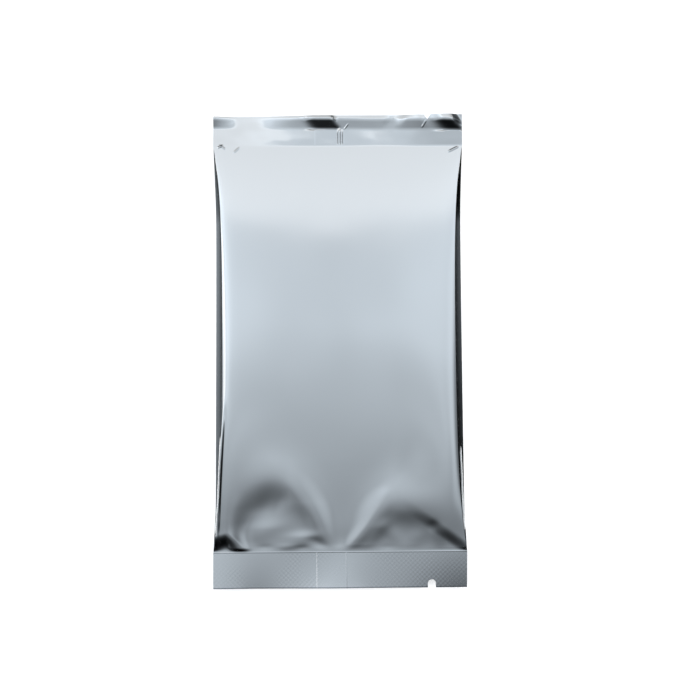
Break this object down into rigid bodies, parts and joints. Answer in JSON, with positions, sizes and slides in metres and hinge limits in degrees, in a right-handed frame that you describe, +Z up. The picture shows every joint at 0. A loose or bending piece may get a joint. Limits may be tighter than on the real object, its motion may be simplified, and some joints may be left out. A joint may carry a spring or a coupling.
{
  "type": "foil bag",
  "caption": "Filled silver foil sachet with gusseted sides, a flat heat seal across each end and a tear notch in each seal, lying on its back.",
  "frame": {"origin": "on the table under the middle of the bag's bounding box", "axes": "+Y along the bag to its top end, +X across it to the right, +Z up out of the front panel"},
  "size_m": [0.066, 0.1244, 0.0098],
  "materials": {
    "foil": "bright silver laminate, finely embossed in the end seals"
  },
  "bodies": {
    "root": {"foil_bag": "foil"}
  },
  "joints": []
}
